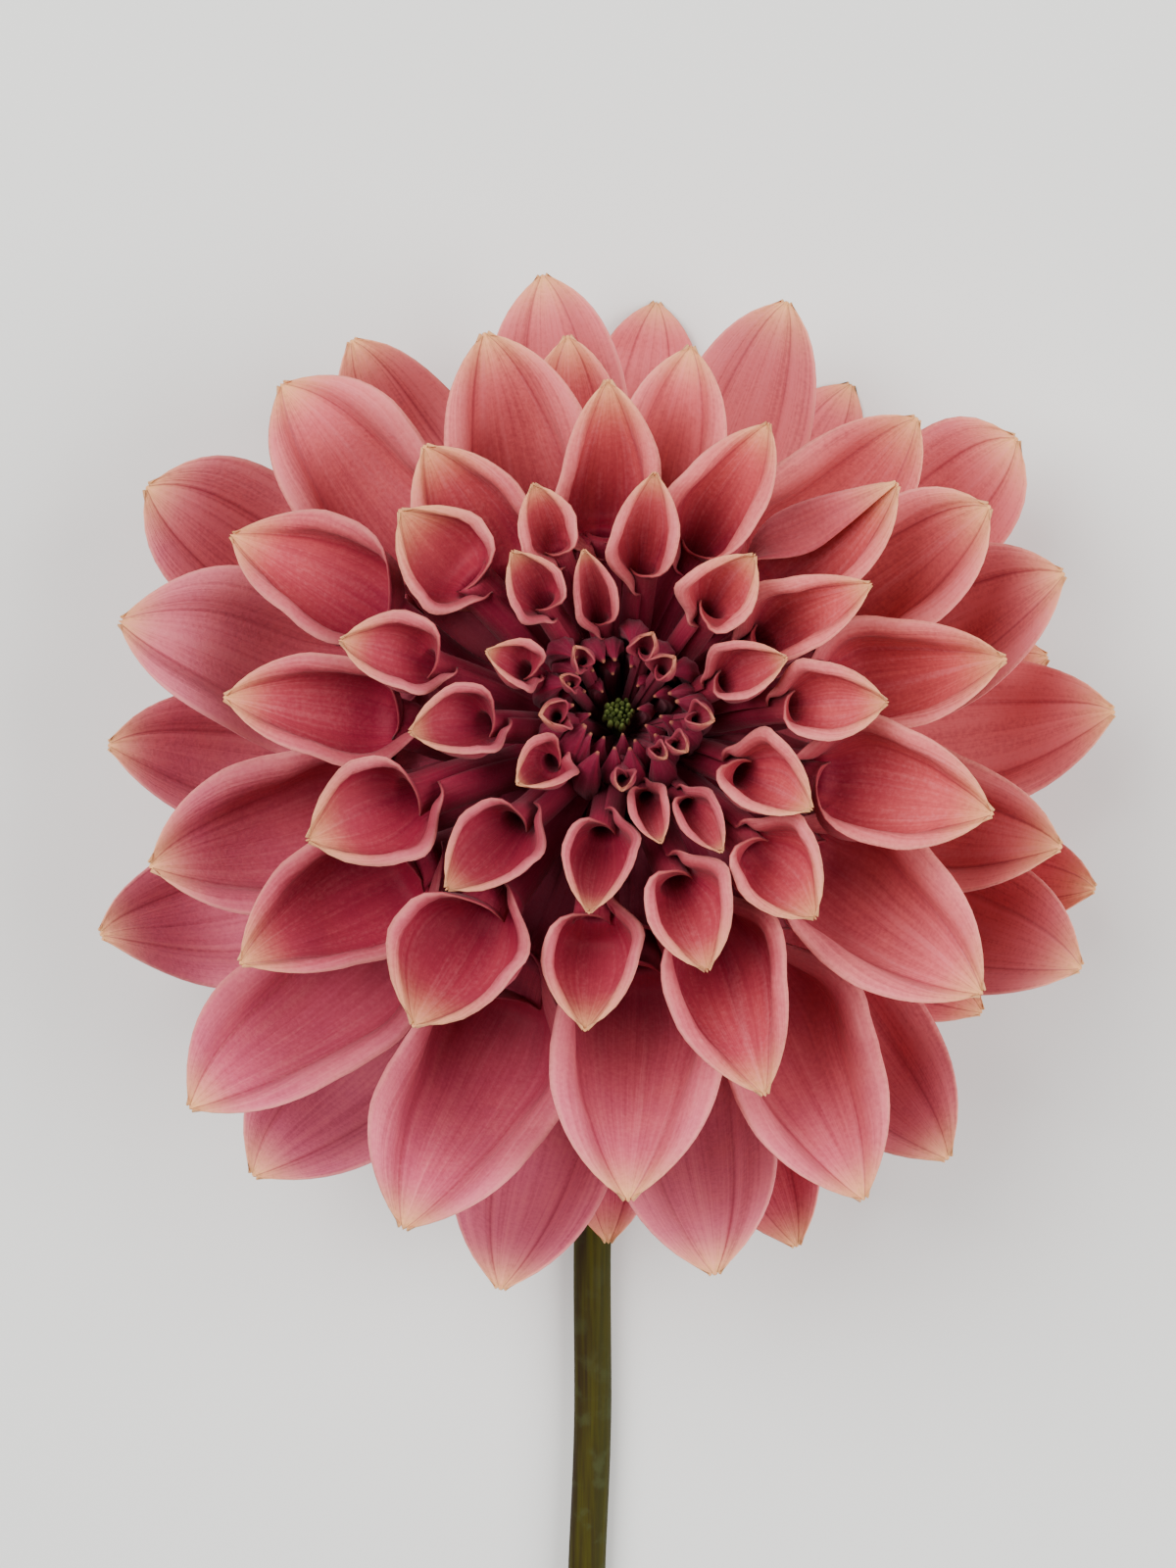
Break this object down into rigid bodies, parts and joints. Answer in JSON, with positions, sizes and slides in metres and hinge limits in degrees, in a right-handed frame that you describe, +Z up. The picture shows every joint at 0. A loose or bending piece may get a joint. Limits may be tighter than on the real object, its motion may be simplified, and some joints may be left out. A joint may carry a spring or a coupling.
{
  "type": "dahlia flower",
  "caption": "Large salmon-pink double dahlia bloom with rolled petals round a burgundy eye, on a bent green stem, lying face up.",
  "frame": {"origin": "on the surface the flower lies on, under the centre of its bounding box", "axes": "+Z up from that surface and out of the bloom's face, +Y from the cut end of the stem towards the bloom, +X to the right of the bloom's face"},
  "size_m": [0.2284, 0.3883, 0.125],
  "materials": {
    "petal": "satin, thin petal tissue",
    "heart": "satin, petal tissue",
    "stem": "satin, fleshy stem",
    "bract": "satin, small leaf"
  },
  "bodies": {
    "root": {"stem": "stem", "heart": "heart", "petal_01": "petal", "petal_02": "petal", "petal_03": "petal", "petal_04": "petal", "petal_05": "petal", "petal_06": "petal", "petal_07": "petal", "petal_08": "petal", "petal_09": "petal", "petal_10": "petal", "petal_11": "petal", "petal_12": "petal", "petal_13": "petal", "petal_14": "petal", "petal_15": "petal", "petal_16": "petal", "petal_17": "petal", "petal_18": "petal", "petal_19": "petal", "petal_20": "petal", "petal_21": "petal", "petal_22": "petal", "petal_23": "petal", "petal_24": "petal", "petal_25": "petal", "petal_26": "petal", "petal_27": "petal", "petal_28": "petal", "petal_29": "petal", "petal_30": "petal", "petal_31": "petal", "petal_32": "petal", "petal_33": "petal", "petal_34": "petal", "petal_35": "petal", "petal_36": "petal", "petal_37": "petal", "petal_38": "petal", "petal_39": "petal", "petal_40": "petal", "petal_41": "petal", "petal_42": "petal", "petal_43": "petal", "petal_44": "petal", "petal_45": "petal", "petal_46": "petal", "petal_47": "petal", "petal_48": "petal", "petal_49": "petal", "petal_50": "petal", "petal_51": "petal", "petal_52": "petal", "bract_1": "bract", "bract_2": "bract", "bract_3": "bract", "bract_4": "bract", "bract_5": "bract"}
  },
  "joints": []
}
